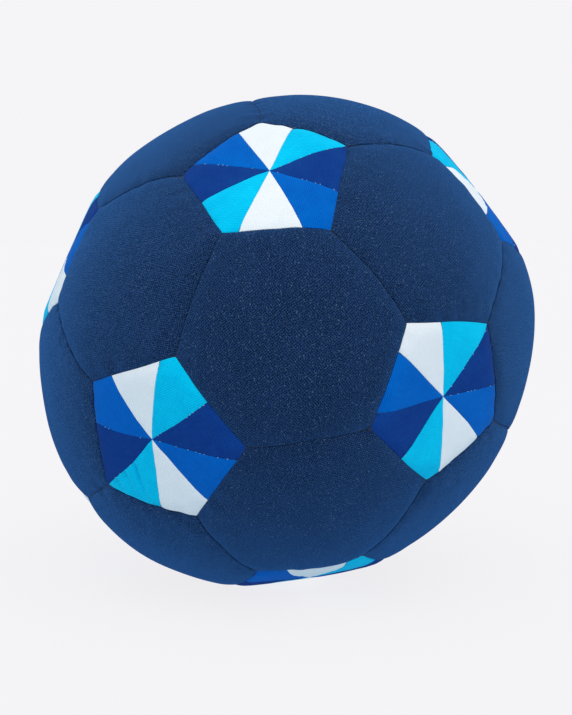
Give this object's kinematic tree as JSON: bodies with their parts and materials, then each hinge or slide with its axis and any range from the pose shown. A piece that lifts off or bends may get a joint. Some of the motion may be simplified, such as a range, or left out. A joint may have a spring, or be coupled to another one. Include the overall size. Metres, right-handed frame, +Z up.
{
  "type": "juggling ball",
  "caption": "Soft stuffed cloth ball: navy canvas hexagons and pinwheel pentagons pieced in white, cyan and two blues.",
  "frame": {"origin": "middle of the small flat the ball settles on, at the bottom", "axes": "+Z up out of the flat through the ball's centre; -Y towards the front, where one hexagon faces"},
  "size_m": [0.2, 0.2, 0.198],
  "materials": {
    "navy_canvas": "plain-weave navy canvas with pale slubs, matt",
    "white_cotton": "smooth white cotton, matt",
    "cyan_cotton": "smooth cyan cotton, slight sheen",
    "dark_blue_cotton": "smooth dark blue cotton, slight sheen",
    "mid_blue_cotton": "smooth mid blue cotton, slight sheen",
    "fibre_stuffing": "loose white polyester fibre",
    "navy_thread": "twisted sewing thread",
    "blue_thread": "twisted sewing thread"
  },
  "bodies": {
    "root": {"stuffing_core": "fibre_stuffing", "panel_seam_thread": "navy_thread", "pinwheel_seam_thread": "blue_thread", "closing_stitches": "navy_thread", "hexagons_top": "navy_canvas", "hexagons_upper": "navy_canvas", "hexagons_lower": "navy_canvas", "hexagons_bottom": "navy_canvas", "pinwheel_01_white": "white_cotton", "pinwheel_01_cyan": "cyan_cotton", "pinwheel_01_dark_blue": "dark_blue_cotton", "pinwheel_01_mid_blue": "mid_blue_cotton", "pinwheel_02_white": "white_cotton", "pinwheel_02_cyan": "cyan_cotton", "pinwheel_02_dark_blue": "dark_blue_cotton", "pinwheel_02_mid_blue": "mid_blue_cotton", "pinwheel_03_white": "white_cotton", "pinwheel_03_cyan": "cyan_cotton", "pinwheel_03_dark_blue": "dark_blue_cotton", "pinwheel_03_mid_blue": "mid_blue_cotton", "pinwheel_04_white": "white_cotton", "pinwheel_04_cyan": "cyan_cotton", "pinwheel_04_dark_blue": "dark_blue_cotton", "pinwheel_04_mid_blue": "mid_blue_cotton", "pinwheel_05_white": "white_cotton", "pinwheel_05_cyan": "cyan_cotton", "pinwheel_05_dark_blue": "dark_blue_cotton", "pinwheel_05_mid_blue": "mid_blue_cotton", "pinwheel_06_white": "white_cotton", "pinwheel_06_cyan": "cyan_cotton", "pinwheel_06_dark_blue": "dark_blue_cotton", "pinwheel_06_mid_blue": "mid_blue_cotton", "pinwheel_07_white": "white_cotton", "pinwheel_07_cyan": "cyan_cotton", "pinwheel_07_dark_blue": "dark_blue_cotton", "pinwheel_07_mid_blue": "mid_blue_cotton", "pinwheel_08_white": "white_cotton", "pinwheel_08_cyan": "cyan_cotton", "pinwheel_08_dark_blue": "dark_blue_cotton", "pinwheel_08_mid_blue": "mid_blue_cotton", "pinwheel_09_white": "white_cotton", "pinwheel_09_cyan": "cyan_cotton", "pinwheel_09_dark_blue": "dark_blue_cotton", "pinwheel_09_mid_blue": "mid_blue_cotton", "pinwheel_10_white": "white_cotton", "pinwheel_10_cyan": "cyan_cotton", "pinwheel_10_dark_blue": "dark_blue_cotton", "pinwheel_10_mid_blue": "mid_blue_cotton", "pinwheel_11_white": "white_cotton", "pinwheel_11_cyan": "cyan_cotton", "pinwheel_11_dark_blue": "dark_blue_cotton", "pinwheel_11_mid_blue": "mid_blue_cotton", "pinwheel_12_white": "white_cotton", "pinwheel_12_cyan": "cyan_cotton", "pinwheel_12_dark_blue": "dark_blue_cotton", "pinwheel_12_mid_blue": "mid_blue_cotton"}
  },
  "joints": []
}
